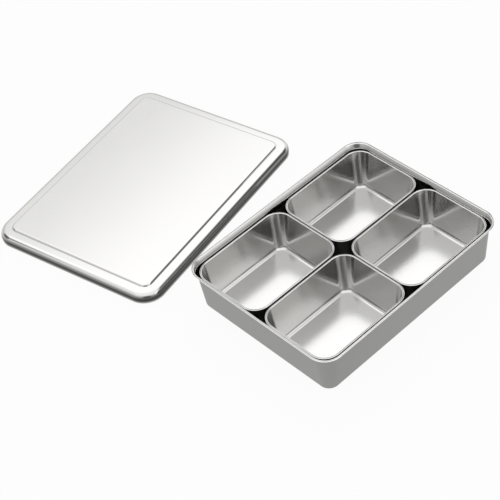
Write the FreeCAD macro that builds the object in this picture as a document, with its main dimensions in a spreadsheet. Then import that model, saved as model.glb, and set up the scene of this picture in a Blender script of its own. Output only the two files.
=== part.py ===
import FreeCAD, Part
import math
import operator
import os
import Sketcher

# A pressed steel spice box: a tray with a rolled rim, four pans that stand loose in it,
# and a lid, taken off, that lies beside it. X runs along the tray, Z is up and the origin
# is the middle of the tray's underside.

# Driving sizes in millimetres, and one angle in degrees
SIZES = {
    "sheet": 0.6,
    "floor_seam": 2.0,
    "tray_length": 270.0,
    "tray_width": 212.0,
    "tray_height": 55.6,
    "tray_bead": 2.6,
    "tray_flare": 5.6,
    "tray_flare_height": 11.0,
    "tray_draft": 3.8,
    "tray_base_radius": 3.5,
    "tray_floor_corner": 8.6,
    "pan_inset_along": 6.1,
    "pan_inset_across": 7.3,
    "pan_gap_along": 1.4,
    "pan_gap_across": 2.4,
    "pan_below_rim": 5.6,
    "pan_bead": 1.9,
    "pan_draft": 6.5,
    "pan_base_radius": 5.5,
    "pan_floor_corner": 6.2,
    "lid_over_along": 12.0,
    "lid_over_across": 9.0,
    "lid_depth": 12.6,
    "lid_hem": 2.4,
    "lid_roll": 7.0,
    "lid_ring": 14.0,
    "lid_step_run": 1.4,
    "lid_step_rise": 2.0,
    "lid_step_radius": 1.5,
    "lid_panel_corner": 9.0,
    "lid_rest_along": -50.0,
    "lid_rest_across": 274.3,
    "lid_rest_turn": 12.1,
}
NEAR = 0.02


def combined(symbol, action):
    def method(left, right):
        right = right if isinstance(right, Size) else Size(right, repr(right))
        return Size(action(left.number, right.number), f"({left.text} {symbol} {right.text})")
    return method


class Size:
    """A size as a number, with the expression that gives it from the sheet."""

    def __init__(self, number, text):
        self.number = number
        self.text = text

    __add__ = combined("+", operator.add)
    __sub__ = combined("-", operator.sub)
    __mul__ = combined("*", operator.mul)
    __truediv__ = combined("/", operator.truediv)

    def __neg__(self):
        return Size(-self.number, f"(-{self.text})")


class Sizes:
    """Every driving size by its name."""

    def __init__(self, doc, values):
        sheet = doc.addObject("Spreadsheet::Sheet", "Sizes")
        for row, (name, value) in enumerate(values.items(), 1):
            sheet.set(f"A{row}", name)
            sheet.set(f"B{row}", str(value))
            sheet.setAlias(f"B{row}", name)
            setattr(self, name, Size(value, f"Sizes.{name}"))


def plane_of(body, role):
    return next(plane for plane in body.Origin.OriginFeatures if plane.Role == role)


def new_sketch(body, name, role, height=None):
    sketch = body.newObject("Sketcher::SketchObject", name)
    sketch.AttachmentSupport = [(plane_of(body, role), "")]
    sketch.MapMode = "FlatFace"
    if height:
        sketch.setExpression("AttachmentOffset.Base.z", height.text)
    return sketch


def arc_between(start, end, radius):
    """The short arc from start to end. It turns left where the radius is positive."""
    chord = end - start
    left = FreeCAD.Vector(-chord.y, chord.x, 0).normalize()
    rise = math.sqrt(max(radius ** 2 - (chord.Length / 2) ** 2, 0))
    centre = (start + end) / 2 + left * math.copysign(rise, radius)
    first, last = (start, end) if radius > 0 else (end, start)
    angles = [math.atan2(p.y - centre.y, p.x - centre.x) for p in (first, last)]
    circle = Part.Circle(centre, FreeCAD.Vector(0, 0, 1), abs(radius))
    return Part.ArcOfCircle(circle, *angles)


def pin(sketch, axis, edge, end, value):
    """Holds one coordinate of a point at its size."""
    if not isinstance(value, Size):
        sketch.addConstraint(Sketcher.Constraint("PointOnObject", edge, end, -1 if axis == "Y" else -2))
        return
    origin, point = (-1, 1), (edge, end)
    ends = origin + point if value.number >= 0 else point + origin
    size = value if value.number >= 0 else -value
    number = sketch.addConstraint(Sketcher.Constraint("Distance" + axis, *ends, size.number))
    sketch.setExpression(f"Constraints[{number}]", size.text)


def draw_outline(sketch, corners):
    """Draws a closed outline. A corner is (x, y) or (x, y, radius of the arc that follows it).

    A coordinate of plain 0 lies on the axis.
    """
    places = [FreeCAD.Vector(*(getattr(c, "number", c) for c in corner[:2]), 0) for corner in corners]
    edges = []
    for number, corner in enumerate(corners):
        start, end = places[number], places[(number + 1) % len(corners)]
        if len(corner) == 2:
            edge = sketch.addGeometry(Part.LineSegment(start, end))
            edges.append((edge, 1, 2))
            continue
        radius = corner[2]
        edge = sketch.addGeometry(arc_between(start, end, radius.number))
        edges.append((edge, 1, 2) if radius.number > 0 else (edge, 2, 1))
    for (edge, start, end), following in zip(edges, edges[1:] + edges[:1]):
        sketch.addConstraint(Sketcher.Constraint("Coincident", edge, end, following[0], following[1]))
    for (edge, start, end), corner in zip(edges, corners):
        pin(sketch, "X", edge, start, corner[0])
        pin(sketch, "Y", edge, start, corner[1])
        if len(corner) == 3:
            radius = corner[2] if corner[2].number > 0 else -corner[2]
            number = sketch.addConstraint(Sketcher.Constraint("Radius", edge, radius.number))
            sketch.setExpression(f"Constraints[{number}]", radius.text)


def rounded_rectangle(half_x, half_y, radius):
    """Corners of a rounded rectangle about the origin, from the middle of its +X side."""
    flat_x, flat_y = half_x - radius, half_y - radius
    return [
        (half_x, 0),
        (half_x, flat_y, radius),
        (flat_x, half_y),
        (-flat_x, half_y, radius),
        (-half_x, flat_y),
        (-half_x, -flat_y, radius),
        (-flat_x, -half_y),
        (flat_x, -half_y, radius),
        (half_x, -flat_y),
    ]


class Pressing:
    """A body of pressed sheet: a profile carried round a rounded rectangle, and a flat plate."""

    def __init__(self, doc, label, half_x, half_y, corner):
        self.doc = doc
        self.half_x = half_x
        self.half_y = half_y
        self.corner = corner
        self.body = doc.addObject("PartDesign::Body", label)
        self.body.Label = label
        self.rim = new_sketch(self.body, label + "_rim", "XY_Plane")
        draw_outline(self.rim, rounded_rectangle(half_x, half_y, corner))

    def wall(self, profile):
        """Carries a closed profile, drawn on the XZ plane, once round the rim."""
        sketch = new_sketch(self.body, self.body.Label + "_profile", "XZ_Plane")
        draw_outline(sketch, profile)
        pipe = self.body.newObject("PartDesign::AdditivePipe", self.body.Label + "_wall")
        pipe.Profile = sketch
        pipe.Spine = (self.rim, [])
        self.doc.recompute()

    def plate(self, inset, bottom, thickness):
        """Fills the middle with a flat plate."""
        outline = rounded_rectangle(self.half_x - inset, self.half_y - inset, self.corner - inset)
        sketch = new_sketch(self.body, self.body.Label + "_floor", "XY_Plane", bottom)
        draw_outline(sketch, outline)
        pad = self.body.newObject("PartDesign::Pad", self.body.Label + "_plate")
        pad.Profile = sketch
        pad.setExpression("Length", thickness.text)
        self.doc.recompute()

    def round_edges(self, inset, height, radius):
        """Rounds the closed row of edges at one inset from the rim and one height."""
        base = self.body.Tip
        level = getattr(height, "number", height)
        depth = getattr(inset, "number", inset)
        names = []
        for number, edge in enumerate(base.Shape.Edges, 1):
            middle = edge.valueAt((edge.FirstParameter + edge.LastParameter) / 2)
            below = Part.Vertex(middle.x, middle.y, 0)
            away = self.rim.Shape.distToShape(below)[0]
            if abs(middle.z - level) < NEAR and abs(away - depth) < NEAR:
                names.append(f"Edge{number}")
        if not names:
            raise RuntimeError(f"{self.body.Label} has no edges {depth} in from its rim")
        fillet = self.body.newObject("PartDesign::Fillet", self.body.Label + "_round")
        fillet.Base = (base, names)
        fillet.setExpression("Radius", radius.text)
        self.doc.recompute()

    def put(self, along, across, up=None, turn=None):
        if turn:
            self.body.Placement.Rotation = FreeCAD.Rotation(FreeCAD.Vector(0, 0, 1), turn.number)
            self.body.setExpression("Placement.Rotation.Angle", turn.text)
        self.body.setExpression("Placement.Base.x", along.text)
        self.body.setExpression("Placement.Base.y", across.text)
        if up:
            self.body.setExpression("Placement.Base.z", up.text)


def tangent_radius(run, rise):
    """Radius of an arc that leaves an upright line and ends run aside and rise above."""
    return (run * run + rise * rise) / (run * 2)


def make_tray(doc, s):
    half_x, half_y = s.tray_length / 2, s.tray_width / 2
    foot = s.tray_flare + s.tray_draft
    flat = foot + s.tray_base_radius
    roll = s.tray_bead / 2
    tray = Pressing(doc, "tray", half_x, half_y, s.tray_floor_corner + flat)
    flare_start = s.tray_height - s.tray_flare_height
    outer_flare = tangent_radius(s.tray_flare - roll, s.tray_flare_height - s.tray_bead)
    inner_flare = tangent_radius(s.tray_flare + s.sheet - s.tray_bead, s.tray_flare_height - roll)
    end = half_x - flat - s.floor_seam
    tray.wall([
        (end, 0),
        (half_x - foot, 0),
        (half_x - s.tray_flare, flare_start, -outer_flare),
        (half_x - roll, s.tray_height - s.tray_bead, roll),
        (half_x, s.tray_height - roll, roll),
        (half_x - roll, s.tray_height, roll),
        (half_x - s.tray_bead, s.tray_height - roll, inner_flare),
        (half_x - s.tray_flare - s.sheet, flare_start),
        (half_x - foot - s.sheet, s.sheet),
        (end, s.sheet),
    ])
    tray.plate(flat + s.floor_seam / 2, None, s.sheet)
    tray.round_edges(foot + s.sheet, s.sheet, s.tray_base_radius - s.sheet)
    tray.round_edges(foot, 0, s.tray_base_radius)
    return tray.body


def make_pan(doc, s, label, side_x, side_y):
    """One of four equal pans that share the tray's floor, each on its side of the middle."""
    half_x = (s.tray_length / 2 - s.pan_inset_along - s.pan_gap_along / 2) / 2
    half_y = (s.tray_width / 2 - s.pan_inset_across - s.pan_gap_across / 2) / 2
    height = s.tray_height - s.sheet - s.pan_below_rim
    roll = s.pan_bead / 2
    lip = s.pan_bead - s.sheet
    foot = lip + s.pan_draft
    flat = foot + s.pan_base_radius
    pan = Pressing(doc, label, half_x, half_y, s.pan_floor_corner + flat)
    end = half_x - flat - s.floor_seam
    pan.wall([
        (end, 0),
        (half_x - foot, 0),
        (half_x - lip, height - s.pan_bead),
        (half_x - roll, height - s.pan_bead, roll),
        (half_x, height - roll, roll),
        (half_x - roll, height, roll),
        (half_x - s.pan_bead, height - roll),
        (half_x - foot - s.sheet, s.sheet),
        (end, s.sheet),
    ])
    pan.plate(flat + s.floor_seam / 2, None, s.sheet)
    pan.round_edges(foot + s.sheet, s.sheet, s.pan_base_radius - s.sheet)
    pan.round_edges(foot, 0, s.pan_base_radius)
    along = half_x + s.pan_gap_along / 2
    across = half_y + s.pan_gap_across / 2
    pan.put(along * side_x, across * side_y, s.sheet)
    return pan.body


def make_lid(doc, s):
    """A raised panel, a flat ring that seats on the tray's rim, and a rolled skirt round it."""
    half_x = s.tray_length / 2 + s.lid_over_along
    half_y = s.tray_width / 2 + s.lid_over_across
    inside = half_x - s.sheet
    hem = s.lid_hem / 2
    step_foot = half_x - s.lid_ring
    step_head = step_foot - s.lid_step_run
    lean = s.sheet / 2
    top = s.lid_depth + s.lid_step_rise
    end = step_head - s.lid_step_radius - s.floor_seam
    panel_inset = s.lid_ring + s.lid_step_run
    lid = Pressing(doc, "lid", half_x, half_y, s.lid_panel_corner + panel_inset)
    lid.wall([
        (end, top - s.sheet),
        (step_head - lean, top - s.sheet),
        (step_foot - lean, s.lid_depth - s.sheet),
        (inside, s.lid_depth - s.sheet),
        (inside, s.lid_hem),
        (half_x - hem, s.lid_hem, hem),
        (half_x - s.lid_hem, hem, hem),
        (half_x - hem, 0, hem),
        (half_x, hem),
        (half_x, s.lid_depth),
        (step_foot, s.lid_depth),
        (step_head, top),
        (end, top),
    ])
    lid.plate(panel_inset + s.lid_step_radius + s.floor_seam / 2, top - s.sheet, s.sheet)
    lid.round_edges(s.sheet, s.lid_depth - s.sheet, s.lid_roll - s.sheet)
    lid.round_edges(0, s.lid_depth, s.lid_roll)
    lid.round_edges(panel_inset, top, s.lid_step_radius)
    lid.put(s.lid_rest_along, s.lid_rest_across, None, s.lid_rest_turn)
    return lid.body


def check(doc, bodies):
    for item in doc.Objects:
        if {"Invalid", "Error"} & set(item.State):
            raise RuntimeError(f"{item.Name} failed: {item.State}")
    for body in bodies:
        shape = body.Shape
        if shape.isNull() or not shape.isValid() or len(shape.Solids) != 1:
            raise RuntimeError(f"{body.Label} is not one valid solid")


def main():
    doc = FreeCAD.newDocument("spice_box")
    sizes = Sizes(doc, SIZES)
    doc.recompute()
    bodies = [make_tray(doc, sizes), make_lid(doc, sizes)]
    seats = {"pan_front": (-1, -1), "pan_right": (1, -1), "pan_back": (1, 1), "pan_left": (-1, 1)}
    for label, (side_x, side_y) in seats.items():
        bodies.append(make_pan(doc, sizes, label, side_x, side_y))
    doc.recompute()
    check(doc, bodies)
    os.makedirs("parts", exist_ok=True)
    for body in bodies:
        body.Shape.exportStep(f"parts/{body.Label}.step")
        print(body.Label, "volume", round(body.Shape.Volume), body.Shape.optimalBoundingBox())


main()
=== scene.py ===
import math

import bmesh
import bpy
from mathutils import Matrix, Vector


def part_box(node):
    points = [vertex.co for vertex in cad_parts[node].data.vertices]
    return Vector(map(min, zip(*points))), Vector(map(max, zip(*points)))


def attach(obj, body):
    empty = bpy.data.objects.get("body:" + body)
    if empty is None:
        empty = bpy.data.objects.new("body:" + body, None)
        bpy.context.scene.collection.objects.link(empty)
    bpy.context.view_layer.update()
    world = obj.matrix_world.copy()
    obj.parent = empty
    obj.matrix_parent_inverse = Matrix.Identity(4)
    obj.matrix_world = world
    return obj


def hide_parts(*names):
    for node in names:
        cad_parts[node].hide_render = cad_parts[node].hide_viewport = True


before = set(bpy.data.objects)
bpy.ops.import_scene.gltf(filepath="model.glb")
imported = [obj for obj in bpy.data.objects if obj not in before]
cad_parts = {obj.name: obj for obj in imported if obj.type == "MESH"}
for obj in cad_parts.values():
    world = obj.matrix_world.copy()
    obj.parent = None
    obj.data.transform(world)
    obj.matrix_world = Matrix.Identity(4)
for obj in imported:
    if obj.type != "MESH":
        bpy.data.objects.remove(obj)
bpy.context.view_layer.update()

# A pressed steel spice box: a tray, four pans that stand in it, and its lid, taken off.
# Lengths are in metres, in the frame of the CAD.
MM = 0.001
SHEET = 0.6 * MM

# Tray
TRAY_BEAD = 2.6 * MM
TRAY_FLARE = 5.6 * MM
TRAY_FLARE_HEIGHT = 11.0 * MM
TRAY_DRAFT = 3.8 * MM
TRAY_BASE_RADIUS = 3.5 * MM
TRAY_FLOOR_CORNER = 8.6 * MM

# Pans
PAN_BEAD = 1.9 * MM
PAN_DRAFT = 6.5 * MM
PAN_BASE_RADIUS = 5.5 * MM
PAN_FLOOR_CORNER = 6.2 * MM

# Lid, with a step whose head is a little rounder than the solid's
LID_OVER_ALONG = 12.0 * MM
LID_OVER_ACROSS = 9.0 * MM
LID_DEPTH = 12.6 * MM
LID_HEM = 2.4 * MM
LID_ROLL = 7.0 * MM
LID_RING = 14.0 * MM
LID_STEP_RUN = 1.4 * MM
LID_STEP_RISE = 2.0 * MM
LID_STEP_RADIUS = 2.4 * MM
LID_PANEL_CORNER = 9.0 * MM
LID_TURN = math.radians(12.1)

# Steel: its slightly warm tint, the noise scales of its surface, and the shares they have in it
STEEL_TINT = (1.0, 0.995, 0.981)
LINE_SCALE = (25.0, 900.0, 1.0)
CLOUD_SCALE = 22.0
WAVE_SCALE = 14.0
SPECK_SCALE = 420.0
LINE_SHARE = 0.4
CLOUD_SHARE = 0.25
SPECK_SHARE = 0.35
UNEVEN_LOW = 0.3
UNEVEN_HIGH = 0.7

# Painted dark reflection on the lid's skirt: a dark band painted into the base colour by height, standing
# in for the dark surroundings the skirt mirrors. Its tone, the heights over which it fades out below the
# top roll, and the lighter tone of the painted reflection on the hem under it, with the heights over which
# that fades out
SKIRT_PAINTED_REFLECTION_TONE = 0.07
SKIRT_PAINTED_REFLECTION_FADE = (7.2 * MM, 11.6 * MM)
HEM_PAINTED_REFLECTION_TONE = 0.6
HEM_PAINTED_REFLECTION_FADE = (0.8 * MM, 5.2 * MM)

# Finishes of the tray and the pans, by their place in the list of materials
BURNISHED, DRAWN, ROLLED, SATIN = range(4)

# Mesh fineness
CORNER_STEPS = 18
SIDE_STEPS = 6
ARC_STEP = math.radians(9.0)
SHARP_ANGLE = math.radians(50.0)
NORMAL_WEIGHT = 80

# Camera, from the outline of the tray in the photograph
IMAGE_SIZE = 500.0
SENSOR = 36.0
FOCAL_PIXELS = 1468.2
AZIMUTH = math.radians(-37.313)
ELEVATION = math.radians(45.029)
ROLL = math.radians(-9.243)
ORIGIN_PIXEL = (346.10, 279.39)
ORIGIN_DEPTH = 1.59537

# Floor: its reach, how far it lies below the object, its colour, and the share of it that is white
# to the camera and in the metal's reflections
FLOOR_REACH = 30.0
FLOOR_DROP = 0.2 * MM
FLOOR_COLOUR = (0.9, 0.9, 0.9, 1.0)
FLOOR_GLOW = 0.94

# Light: a dome that is dimmer at the horizon, and a brighter box on one side of it, by the plane of
# its lower edge and the side it stands on, each with the range over which it sets in
WHITE = (1.0, 1.0, 1.0, 1.0)
HORIZON_LEVEL = 0.5
BOX_LEVEL = 0.33
BOX_EDGE = (0.122, -0.757, 0.642)
BOX_EDGE_FADE = (-0.04, 0.035)
BOX_SIDE = (0.6, 0.8, 0.0)
BOX_SIDE_FADE = (0.1, 0.6)

# Parts of the dome that differ, each by its azimuth from +Y, elevation, and outer and inner width in
# degrees, and by the share of light it loses. The last one gains light.
DOME_PARTS = [
    ((112.0, 35.0, 32.0, 8.0), 0.9),
    ((222.0, 22.0, 28.0, 10.0), 0.72),
    ((328.0, 34.0, 19.5, 14.0), 0.85),
    ((157.0, 29.0, 26.0, 8.0), -0.6),
]


class Profile:
    """A line across the sheet, as points (inset from the rim, height)."""

    def __init__(self, inset, height):
        self.points = [(inset, height)]
        self.finish = 0
        self.finishes = []

    def line(self, inset, height):
        self.points.append((inset, height))
        self.finishes.append(self.finish)

    def arc(self, inset, height, radius):
        """The short arc to a point. It turns left where the radius is positive."""
        (x0, y0), (x1, y1) = self.points[-1], (inset, height)
        chord = math.hypot(x1 - x0, y1 - y0)
        rise = math.copysign(math.sqrt(max(radius ** 2 - chord ** 2 / 4, 0.0)), radius)
        centre_x = (x0 + x1) / 2 - (y1 - y0) / chord * rise
        centre_y = (y0 + y1) / 2 + (x1 - x0) / chord * rise
        start = math.atan2(y0 - centre_y, x0 - centre_x)
        turn = 2 * math.asin(min(chord / 2 / abs(radius), 1.0))
        steps = max(2, math.ceil(turn / ARC_STEP))
        for step in range(1, steps + 1):
            angle = start + math.copysign(turn * step / steps, radius)
            self.line(centre_x + abs(radius) * math.cos(angle), centre_y + abs(radius) * math.sin(angle))

    def rounded(self, corner, following, radius):
        """Goes to a corner and round it, towards the following point."""
        before, here, after = (Vector(p) for p in (self.points[-1], corner, following))
        arriving, leaving = (here - before).normalized(), (after - here).normalized()
        turn = arriving.angle(leaving)
        cut = radius * math.tan(turn / 2)
        side = arriving.x * leaving.y - arriving.y * leaving.x
        self.line(*(here - arriving * cut))
        self.arc(*(here + leaving * cut), math.copysign(radius, side))


def rim_loop(half_x, half_y, radius):
    """Points once round a rounded rectangle, as many at every size."""
    signs = [(1, 1), (-1, 1), (-1, -1), (1, -1)]
    points = []
    for quarter, (sign_x, sign_y) in enumerate(signs):
        centre = Vector((sign_x * (half_x - radius), sign_y * (half_y - radius)))
        for step in range(CORNER_STEPS + 1):
            angle = math.pi / 2 * (quarter + step / CORNER_STEPS)
            points.append(centre + Vector((math.cos(angle), math.sin(angle))) * radius)
        next_x, next_y = signs[(quarter + 1) % 4]
        start = points[-1]
        next_centre = Vector((next_x * (half_x - radius), next_y * (half_y - radius)))
        next_angle = math.pi / 2 * (quarter + 1)
        end = next_centre + Vector((math.cos(next_angle), math.sin(next_angle))) * radius
        for step in range(1, SIDE_STEPS):
            points.append(start.lerp(end, step / SIDE_STEPS))
    return points


def pressed(name, half_x, half_y, corner, profile):
    """A closed piece of sheet: the profile carried round the rim, its two ends filled flat."""
    mesh = bpy.data.meshes.new(name)
    body = bmesh.new()
    sheet = body.loops.layers.float_vector.new("sheet")
    rings = []
    for inset, height in profile.points:
        loop = rim_loop(half_x - inset, half_y - inset, corner - inset)
        rings.append([body.verts.new((p.x, p.y, height)) for p in loop])
    rim = rim_loop(half_x, half_y, corner)
    along = [0.0]
    for first, second in zip(rim, rim[1:] + rim[:1]):
        along.append(along[-1] + (second - first).length)
    across = [0.0]
    for (x0, y0), (x1, y1) in zip(profile.points, profile.points[1:]):
        across.append(across[-1] + math.hypot(x1 - x0, y1 - y0))
    count = len(rim)
    for row in range(len(rings) - 1):
        for column in range(count):
            after = (column + 1) % count
            face = body.faces.new((
                rings[row][column], rings[row][after], rings[row + 1][after], rings[row + 1][column],
            ))
            face.material_index = profile.finishes[row]
            places = [(column, row), (column + 1, row), (column + 1, row + 1), (column, row + 1)]
            for corner_loop, (u, v) in zip(face.loops, places):
                corner_loop[sheet] = (along[u], across[v], 0.0)
    for ring, finish in ((rings[0], profile.finishes[0]), (rings[-1], profile.finishes[-1])):
        face = body.faces.new(ring)
        face.material_index = finish
        for corner_loop in face.loops:
            corner_loop[sheet] = (corner_loop.vert.co.x, corner_loop.vert.co.y, 0.0)
    bmesh.ops.recalc_face_normals(body, faces=body.faces)
    body.to_mesh(mesh)
    body.free()
    mesh.shade_smooth()
    mesh.set_sharp_from_angle(angle=SHARP_ANGLE)
    piece = bpy.data.objects.new(name, mesh)
    bpy.context.scene.collection.objects.link(piece)
    weighted = piece.modifiers.new("flat_faces_lead", "WEIGHTED_NORMAL")
    weighted.keep_sharp = True
    weighted.weight = NORMAL_WEIGHT
    return piece


def stand_for(piece, node, materials):
    for material in materials:
        piece.data.materials.append(material)
    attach(piece, node)
    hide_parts(node)


def tangent_radius(run, rise):
    """Radius of an arc that leaves an upright line and ends run aside and rise above."""
    return (run * run + rise * rise) / (2 * run)


def make_tray(materials):
    low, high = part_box("tray")
    half = (high - low) / 2
    height = high.z
    foot = TRAY_FLARE + TRAY_DRAFT
    flat = foot + TRAY_BASE_RADIUS
    roll = TRAY_BEAD / 2
    flare_start = height - TRAY_FLARE_HEIGHT
    profile = Profile(flat + SHEET, SHEET)
    profile.finish = SATIN
    wall_top = (TRAY_FLARE + SHEET, flare_start)
    profile.rounded((foot + SHEET, SHEET), wall_top, TRAY_BASE_RADIUS - SHEET)
    profile.line(*wall_top)
    profile.finish = DRAWN
    inner_flare = tangent_radius(TRAY_FLARE + SHEET - TRAY_BEAD, TRAY_FLARE_HEIGHT - roll)
    profile.arc(TRAY_BEAD, height - roll, inner_flare)
    profile.finish = ROLLED
    profile.arc(roll, height, -roll)
    profile.arc(0.0, height - roll, -roll)
    profile.arc(roll, height - TRAY_BEAD, -roll)
    profile.finish = SATIN
    outer_flare = tangent_radius(TRAY_FLARE - roll, TRAY_FLARE_HEIGHT - TRAY_BEAD)
    profile.arc(TRAY_FLARE, flare_start, -outer_flare)
    profile.rounded((foot, 0.0), (flat + SHEET, 0.0), TRAY_BASE_RADIUS)
    piece = pressed("tray_shell", half.x, half.y, TRAY_FLOOR_CORNER + flat, profile)
    stand_for(piece, "tray", materials)


def make_pan(name, materials):
    low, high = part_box(name)
    half = (high - low) / 2
    height = high.z - low.z
    roll = PAN_BEAD / 2
    lip = PAN_BEAD - SHEET
    foot = lip + PAN_DRAFT
    flat = foot + PAN_BASE_RADIUS
    profile = Profile(flat + SHEET, SHEET)
    profile.finish = BURNISHED
    wall_top = (PAN_BEAD, height - roll)
    profile.rounded((foot + SHEET, SHEET), wall_top, PAN_BASE_RADIUS - SHEET)
    profile.finish = DRAWN
    profile.line(*wall_top)
    profile.finish = ROLLED
    profile.arc(roll, height, -roll)
    profile.arc(0.0, height - roll, -roll)
    profile.arc(roll, height - PAN_BEAD, -roll)
    profile.finish = SATIN
    wall_head = (lip, height - PAN_BEAD)
    profile.line(*wall_head)
    profile.rounded((foot, 0.0), (flat + SHEET, 0.0), PAN_BASE_RADIUS)
    piece = pressed(name + "_shell", half.x, half.y, PAN_FLOOR_CORNER + flat, profile)
    piece.location = ((low.x + high.x) / 2, (low.y + high.y) / 2, low.z)
    stand_for(piece, name, materials)


def make_lid(materials):
    tray_low, tray_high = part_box("tray")
    tray_half = (tray_high - tray_low) / 2
    low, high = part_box("lid")
    hem = LID_HEM / 2
    step_foot = LID_RING
    step_head = step_foot + LID_STEP_RUN
    lean = SHEET / 2
    top = LID_DEPTH + LID_STEP_RISE
    flat = step_head + LID_STEP_RADIUS
    under = LID_DEPTH - SHEET
    profile = Profile(flat, top)
    profile.rounded((step_head, top), (step_foot, LID_DEPTH), LID_STEP_RADIUS)
    profile.line(step_foot, LID_DEPTH)
    profile.rounded((0.0, LID_DEPTH), (0.0, hem), LID_ROLL)
    profile.line(0.0, hem)
    profile.arc(hem, 0.0, -hem)
    profile.arc(LID_HEM, hem, -hem)
    profile.arc(hem, LID_HEM, -hem)
    profile.line(SHEET, LID_HEM)
    profile.rounded((SHEET, under), (step_foot + lean, under), LID_ROLL - SHEET)
    profile.line(step_foot + lean, under)
    profile.line(step_head + lean, top - SHEET)
    profile.line(flat, top - SHEET)
    half_x, half_y = tray_half.x + LID_OVER_ALONG, tray_half.y + LID_OVER_ACROSS
    piece = pressed("lid_shell", half_x, half_y, LID_PANEL_CORNER + step_head, profile)
    middle = (low + high) / 2
    piece.data.transform(Matrix.Rotation(LID_TURN, 4, "Z"))
    piece.location = (middle.x, middle.y, low.z)
    stand_for(piece, "lid", materials)


def heading(azimuth, elevation):
    """A direction, by its azimuth from +Y towards +X and its elevation."""
    return (
        math.sin(azimuth) * math.cos(elevation),
        math.cos(azimuth) * math.cos(elevation),
        math.sin(elevation),
    )


class Shader:
    """A node tree with short calls. Inputs go by name, or by place as i0, i1 and so on."""

    def __init__(self, owner):
        owner.use_nodes = True
        self.tree = owner.node_tree
        self.tree.nodes.clear()

    def node(self, kind, settings=None, **inputs):
        made = self.tree.nodes.new(kind)
        for key, value in (settings or {}).items():
            setattr(made, key, value)
        for key, value in inputs.items():
            place = int(key[1:]) if key[1:].isdigit() else key.replace("_", " ")
            socket = made.inputs[place]
            if isinstance(value, bpy.types.NodeSocket):
                self.tree.links.new(value, socket)
            else:
                socket.default_value = value
        return made

    def math(self, operation, first, second=0.0, third=0.0):
        settings = {"operation": operation}
        return self.node("ShaderNodeMath", settings, i0=first, i1=second, i2=third).outputs[0]

    def dot(self, first, second):
        settings = {"operation": "DOT_PRODUCT"}
        return self.node("ShaderNodeVectorMath", settings, i0=first, i1=second).outputs[1]

    def noise(self, vector, scale, detail):
        return self.node("ShaderNodeTexNoise", Vector=vector, Scale=scale, Detail=detail).outputs[0]

    def smooth(self, value, low, high, start=0.0, end=1.0):
        """Goes from start to end as the value goes from low to high."""
        made = self.node(
            "ShaderNodeMapRange", {"interpolation_type": "SMOOTHSTEP"},
            i0=value, i1=low, i2=high, i3=start, i4=end,
        )
        return made.outputs[0]


def steel_colour(level):
    """The steel's tint at a level, held to what a colour can be."""
    return tuple(min(level * share, 1.0) for share in STEEL_TINT) + (1.0,)


def steel(name, level, uneven_tone, roughness, spread, grain, wave, painted_skirt_reflection=False):
    """Stainless sheet: fine rolling lines, a slight waviness, and uneven tone and gloss."""
    material = bpy.data.materials.new(name)
    shader = Shader(material)
    sheet = shader.node("ShaderNodeAttribute", {"attribute_name": "sheet"}).outputs["Vector"]
    place = shader.node("ShaderNodeTexCoord").outputs["Object"]
    stretched = shader.node("ShaderNodeMapping", i0=sheet, Scale=LINE_SCALE).outputs[0]
    lines = shader.noise(stretched, 1.0, 3.0)
    cloud = shader.noise(place, CLOUD_SCALE, 2.0)
    waves = shader.noise(place, WAVE_SCALE, 1.0)
    specks = shader.noise(place, SPECK_SCALE, 1.0)
    uneven = shader.math("MULTIPLY_ADD", lines, LINE_SHARE, shader.math("MULTIPLY", cloud, CLOUD_SHARE))
    uneven = shader.math("MULTIPLY_ADD", specks, SPECK_SHARE, uneven)
    gloss = shader.smooth(uneven, UNEVEN_LOW, UNEVEN_HIGH, roughness - spread, roughness + spread)
    tone = shader.node(
        "ShaderNodeMix", {"data_type": "RGBA"}, Factor=uneven,
        A=steel_colour(level * (1.0 - uneven_tone)), B=steel_colour(level * (1.0 + uneven_tone)),
    ).outputs[2]
    # Painted dark reflection: the base colour is darkened by height into a band round the lid's skirt, less
    # so on the hem.
    if painted_skirt_reflection:
        height = shader.node("ShaderNodeSeparateXYZ", Vector=place).outputs[2]
        skirt = shader.smooth(height, *SKIRT_PAINTED_REFLECTION_FADE, SKIRT_PAINTED_REFLECTION_TONE, 1.0)
        hem = shader.smooth(height, *HEM_PAINTED_REFLECTION_FADE, HEM_PAINTED_REFLECTION_TONE, 0.0)
        painted_reflection = shader.math("MAXIMUM", skirt, hem)
        settings = {"data_type": "RGBA", "blend_type": "MULTIPLY"}
        tone = shader.node("ShaderNodeMix", settings, i0=1.0, i6=tone, i7=painted_reflection).outputs[2]
    wavy = shader.node("ShaderNodeBump", Strength=1.0, Distance=wave, Height=waves).outputs[0]
    fine = shader.node("ShaderNodeBump", Strength=1.0, Distance=grain, Height=lines, Normal=wavy).outputs[0]
    surface = shader.node(
        "ShaderNodeBsdfPrincipled", Base_Color=tone, Metallic=1.0, Roughness=gloss, Normal=fine,
    ).outputs[0]
    shader.node("ShaderNodeOutputMaterial", Surface=surface)
    return material


def make_floor():
    """A wide white floor that keeps the shadow."""
    mesh = bpy.data.meshes.new("floor")
    signs = [(-1, -1), (1, -1), (1, 1), (-1, 1)]
    corners = [(x * FLOOR_REACH, y * FLOOR_REACH, -FLOOR_DROP) for x, y in signs]
    mesh.from_pydata(corners, [], [(0, 1, 2, 3)])
    floor = bpy.data.objects.new("floor", mesh)
    bpy.context.scene.collection.objects.link(floor)
    material = bpy.data.materials.new("white_floor")
    shader = Shader(material)
    plain = shader.node("ShaderNodeBsdfDiffuse", Color=FLOOR_COLOUR).outputs[0]
    glow = shader.node("ShaderNodeEmission", Color=WHITE, Strength=1.0).outputs[0]
    path = shader.node("ShaderNodeLightPath").outputs
    direct = shader.math("MAXIMUM", path["Is Camera Ray"], path["Is Transmission Ray"])
    seen = shader.math("MAXIMUM", direct, path["Is Glossy Ray"])
    share = shader.math("MULTIPLY", seen, FLOOR_GLOW)
    surface = shader.node("ShaderNodeMixShader", i0=share, i1=plain, i2=glow).outputs[0]
    shader.node("ShaderNodeOutputMaterial", Surface=surface)
    mesh.materials.append(material)


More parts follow.
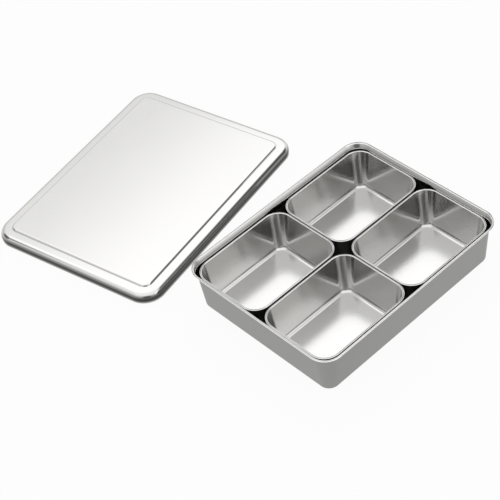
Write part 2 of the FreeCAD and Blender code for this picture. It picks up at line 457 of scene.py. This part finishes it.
def make_world():
    """A soft dome with a brighter box beyond the object, and the parts of it that differ."""
    world = bpy.data.worlds.new("studio")
    bpy.context.scene.world = world
    shader = Shader(world)
    direction = shader.node("ShaderNodeTexCoord").outputs["Generated"]
    up = shader.node("ShaderNodeSeparateXYZ", Vector=direction).outputs[2]
    fill = shader.smooth(up, 0.0, 1.0, HORIZON_LEVEL, 1.0)
    box = shader.smooth(shader.dot(direction, BOX_EDGE), *BOX_EDGE_FADE)
    box_side = shader.smooth(shader.dot(direction, BOX_SIDE), *BOX_SIDE_FADE)
    level = shader.math("MULTIPLY_ADD", shader.math("MULTIPLY", box, box_side), BOX_LEVEL, fill)
    for angles, loss in DOME_PARTS:
        azimuth, elevation, outer, inner = (math.radians(angle) for angle in angles)
        towards = shader.dot(direction, heading(azimuth, elevation))
        kept = shader.smooth(towards, math.cos(outer), math.cos(inner), 1.0, 1.0 - loss)
        level = shader.math("MULTIPLY", level, kept)
    light = shader.node("ShaderNodeBackground", Color=WHITE, Strength=level).outputs[0]
    shader.node("ShaderNodeOutputWorld", Surface=light)


def make_camera():
    back = Vector((
        math.sin(AZIMUTH) * math.cos(ELEVATION),
        -math.cos(AZIMUTH) * math.cos(ELEVATION),
        math.sin(ELEVATION),
    ))
    level = Vector((0.0, 0.0, 1.0)).cross(back).normalized()
    upright = back.cross(level)
    right = level * math.cos(ROLL) + upright * math.sin(ROLL)
    up = upright * math.cos(ROLL) - level * math.sin(ROLL)
    middle = IMAGE_SIZE / 2
    aside = (ORIGIN_PIXEL[0] - middle) * ORIGIN_DEPTH / FOCAL_PIXELS
    above = (middle - ORIGIN_PIXEL[1]) * ORIGIN_DEPTH / FOCAL_PIXELS
    place = back * ORIGIN_DEPTH - right * aside - up * above
    data = bpy.data.cameras.new("camera")
    data.sensor_width = SENSOR
    data.lens = FOCAL_PIXELS * SENSOR / IMAGE_SIZE
    camera = bpy.data.objects.new("camera", data)
    bpy.context.scene.collection.objects.link(camera)
    camera.matrix_world = Matrix((
        (right.x, up.x, back.x, place.x),
        (right.y, up.y, back.y, place.y),
        (right.z, up.z, back.z, place.z),
        (0.0, 0.0, 0.0, 1.0),
    ))
    bpy.context.scene.camera = camera


satin = steel(
    "satin_steel", level=0.31, uneven_tone=0.22, roughness=0.40, spread=0.05,
    grain=0.009 * MM, wave=0.12 * MM,
)
rolled = steel(
    "rolled_steel", level=0.92, uneven_tone=0.06, roughness=0.25, spread=0.03,
    grain=0.002 * MM, wave=0.04 * MM,
)
burnished = steel(
    "burnished_steel", level=0.84, uneven_tone=0.08, roughness=0.20, spread=0.02,
    grain=0.001 * MM, wave=0.03 * MM,
)
drawn = steel(
    "drawn_steel", level=0.61, uneven_tone=0.10, roughness=0.13, spread=0.02,
    grain=0.001 * MM, wave=0.03 * MM,
)
# The lid's polished steel, with the painted dark reflection on its skirt.
bright = steel(
    "bright_steel", level=0.84, uneven_tone=0.05, roughness=0.12, spread=0.02,
    grain=0.001 * MM, wave=0.03 * MM, painted_skirt_reflection=True,
)
pressed_finishes = [burnished, drawn, rolled, satin]
make_tray(pressed_finishes)
for pan in ("pan_front", "pan_right", "pan_back", "pan_left"):
    make_pan(pan, pressed_finishes)
make_lid([bright])
make_floor()
make_world()
make_camera()
bpy.context.scene.view_settings.view_transform = "Standard"
